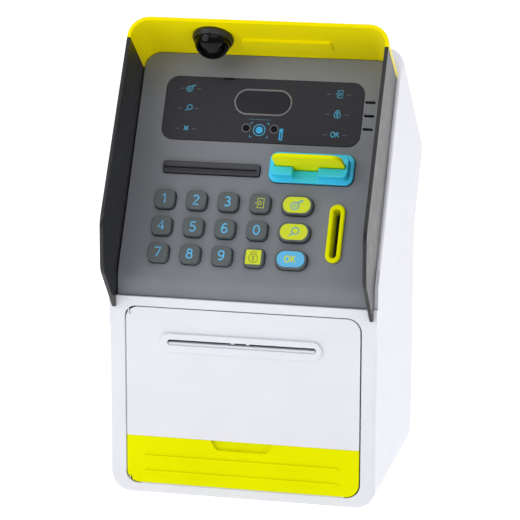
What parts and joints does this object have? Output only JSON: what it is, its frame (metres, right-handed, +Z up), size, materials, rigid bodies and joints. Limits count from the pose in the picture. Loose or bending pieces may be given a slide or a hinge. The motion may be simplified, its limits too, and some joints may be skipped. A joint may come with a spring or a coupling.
{
  "type": "toy cash machine savings bank",
  "caption": "Coin and note savings bank shaped like a cash machine: leaning keypad under a hood, toy card and reader, coin slot, and a hinged vault door with a note feeder.",
  "frame": {"origin": "centre of the bounding box, at the height of the underside of the feet", "axes": "+X to the right seen from the front, +Y from the door towards the rear cover, +Z up"},
  "size_m": [0.14, 0.165, 0.2458],
  "materials": {
    "body_white": "satin moulded white",
    "panel_grey": "fine satin grey",
    "hood_black": "satin black",
    "bank_yellow": "bright yellow moulding",
    "reader_blue": "sky blue moulding",
    "key_grey": "grey rubbery keys",
    "window_dark": "dark smoked plastic",
    "bezel_grey": "grey ring",
    "glass_black": "polished black",
    "trim_black": "black",
    "slot_grey": "dark grey",
    "rubber_grey": "soft rubber",
    "rubber_black": "ribbed rubber",
    "board_green": "solder mask",
    "inner_white": "natural nylon",
    "steel": "bright drawn steel",
    "lock_zinc": "cast zinc",
    "brass": "brass",
    "cell_jacket": "printed film jacket"
  },
  "bodies": {
    "housing": {"main_shell": "body_white", "rear_cover": "body_white", "control_panel": "panel_grey", "fin_left": "hood_black", "fin_right": "hood_black", "visor": "bank_yellow", "feet": "rubber_grey", "window_lens": "window_dark", "scan_bezel": "bezel_grey", "scan_glass": "glass_black", "scan_module": "trim_black", "dome_ring": "trim_black", "dome_cover": "glass_black", "camera_core": "trim_black", "key_mat": "rubber_grey", "main_board": "board_green", "coin_bezel": "bank_yellow", "coin_chute": "inner_white", "card_reader": "reader_blue", "ticket_slot": "slot_grey", "hinge_pin": "steel", "lock_body": "lock_zinc", "lock_spring": "steel", "battery_case": "trim_black", "battery_cells": "cell_jacket", "speaker": "trim_black", "screws": "steel"},
    "door_leaf": {"door": "body_white", "door_trim": "bank_yellow", "bill_bezel": "body_white", "lock_keeper": "steel", "feeder_frame": "inner_white", "feed_motor": "lock_zinc"},
    "drive_roller": {"drive_shaft": "steel", "drive_tyres": "rubber_black", "drive_gears": "inner_white"},
    "pinch_roller": {"pinch_shaft": "steel", "pinch_tyres": "rubber_black", "pinch_gear": "inner_white"},
    "motor_shaft": {"motor_pinion": "brass"},
    "lock_slide": {"lock_bolt": "steel"},
    "card": {"bank_card": "bank_yellow"},
    "coin_switch": {"coin_lever": "steel"},
    "battery_lid": {"battery_cover": "body_white"},
    "key_0_cap": {"key_0": "key_grey"},
    "key_1_cap": {"key_1": "key_grey"},
    "key_2_cap": {"key_2": "key_grey"},
    "key_3_cap": {"key_3": "key_grey"},
    "key_4_cap": {"key_4": "key_grey"},
    "key_5_cap": {"key_5": "key_grey"},
    "key_6_cap": {"key_6": "key_grey"},
    "key_7_cap": {"key_7": "key_grey"},
    "key_8_cap": {"key_8": "key_grey"},
    "key_9_cap": {"key_9": "key_grey"},
    "key_enter_cap": {"key_enter": "key_grey"},
    "key_coin_cap": {"key_coin": "key_grey"},
    "key_search_cap": {"key_search": "key_grey"},
    "key_bag_cap": {"key_bag": "key_grey"},
    "key_ok_cap": {"key_ok": "key_grey"}
  },
  "joints": [
    {"name": "door_hinge", "type": "hinge", "parent": "housing", "child": "door_leaf", "pos_m": [-0.0602, -0.05875, 0.051], "axis": [0, 0, -1], "range_deg": [0, 95]},
    {"name": "drive_spin", "type": "hinge", "parent": "door_leaf", "child": "drive_roller", "pos_m": [0, -0.04315, 0.0781], "axis": [1, 0, 0], "continuous": true},
    {"name": "pinch_spin", "type": "hinge", "parent": "door_leaf", "child": "pinch_roller", "pos_m": [0, -0.04315, 0.0893], "axis": [1, 0, 0], "continuous": true},
    {"name": "motor_spin", "type": "hinge", "parent": "door_leaf", "child": "motor_shaft", "pos_m": [-0.05, -0.03028, 0.0673], "axis": [1, 0, 0], "continuous": true},
    {"name": "lock_throw", "type": "slide", "parent": "housing", "child": "lock_slide", "axis": [0, 0, 1], "range_m": [0, 0.0045], "deforming": ["lock_spring"]},
    {"name": "card_insert", "type": "slide", "parent": "housing", "child": "card", "axis": [0, -0.866, 0.5], "range_m": [0, 0.024]},
    {"name": "coin_trip", "type": "hinge", "parent": "housing", "child": "coin_switch", "pos_m": [0.0511, -0.0337, 0.13488], "axis": [0, -0.5, -0.866], "range_deg": [0, 14], "stiffness_Nm_per_rad": 0.002, "springref_deg": -8.59},
    {"name": "battery_lid_off", "type": "slide", "parent": "housing", "child": "battery_lid", "axis": [0, 1, 0], "range_m": [0, 0.015]},
    {"name": "key_0_press", "type": "slide", "parent": "housing", "child": "key_0_cap", "axis": [0, 0.866, -0.5], "range_m": [0, 0.0012], "stiffness_N_per_m": 300, "springref_m": -0.0006},
    {"name": "key_1_press", "type": "slide", "parent": "housing", "child": "key_1_cap", "axis": [0, 0.866, -0.5], "range_m": [0, 0.0012], "stiffness_N_per_m": 300, "springref_m": -0.0006},
    {"name": "key_2_press", "type": "slide", "parent": "housing", "child": "key_2_cap", "axis": [0, 0.866, -0.5], "range_m": [0, 0.0012], "stiffness_N_per_m": 300, "springref_m": -0.0006},
    {"name": "key_3_press", "type": "slide", "parent": "housing", "child": "key_3_cap", "axis": [0, 0.866, -0.5], "range_m": [0, 0.0012], "stiffness_N_per_m": 300, "springref_m": -0.0006},
    {"name": "key_4_press", "type": "slide", "parent": "housing", "child": "key_4_cap", "axis": [0, 0.866, -0.5], "range_m": [0, 0.0012], "stiffness_N_per_m": 300, "springref_m": -0.0006},
    {"name": "key_5_press", "type": "slide", "parent": "housing", "child": "key_5_cap", "axis": [0, 0.866, -0.5], "range_m": [0, 0.0012], "stiffness_N_per_m": 300, "springref_m": -0.0006},
    {"name": "key_6_press", "type": "slide", "parent": "housing", "child": "key_6_cap", "axis": [0, 0.866, -0.5], "range_m": [0, 0.0012], "stiffness_N_per_m": 300, "springref_m": -0.0006},
    {"name": "key_7_press", "type": "slide", "parent": "housing", "child": "key_7_cap", "axis": [0, 0.866, -0.5], "range_m": [0, 0.0012], "stiffness_N_per_m": 300, "springref_m": -0.0006},
    {"name": "key_8_press", "type": "slide", "parent": "housing", "child": "key_8_cap", "axis": [0, 0.866, -0.5], "range_m": [0, 0.0012], "stiffness_N_per_m": 300, "springref_m": -0.0006},
    {"name": "key_9_press", "type": "slide", "parent": "housing", "child": "key_9_cap", "axis": [0, 0.866, -0.5], "range_m": [0, 0.0012], "stiffness_N_per_m": 300, "springref_m": -0.0006},
    {"name": "key_enter_press", "type": "slide", "parent": "housing", "child": "key_enter_cap", "axis": [0, 0.866, -0.5], "range_m": [0, 0.0012], "stiffness_N_per_m": 300, "springref_m": -0.0006},
    {"name": "key_coin_press", "type": "slide", "parent": "housing", "child": "key_coin_cap", "axis": [0, 0.866, -0.5], "range_m": [0, 0.0012], "stiffness_N_per_m": 300, "springref_m": -0.0006},
    {"name": "key_search_press", "type": "slide", "parent": "housing", "child": "key_search_cap", "axis": [0, 0.866, -0.5], "range_m": [0, 0.0012], "stiffness_N_per_m": 300, "springref_m": -0.0006},
    {"name": "key_bag_press", "type": "slide", "parent": "housing", "child": "key_bag_cap", "axis": [0, 0.866, -0.5], "range_m": [0, 0.0012], "stiffness_N_per_m": 300, "springref_m": -0.0006},
    {"name": "key_ok_press", "type": "slide", "parent": "housing", "child": "key_ok_cap", "axis": [0, 0.866, -0.5], "range_m": [0, 0.0012], "stiffness_N_per_m": 300, "springref_m": -0.0006}
  ],
  "couplings": [
    {"joint": "pinch_spin", "follows": "drive_spin", "ratio": -1},
    {"joint": "motor_spin", "follows": "drive_spin", "ratio": -2.5}
  ]
}
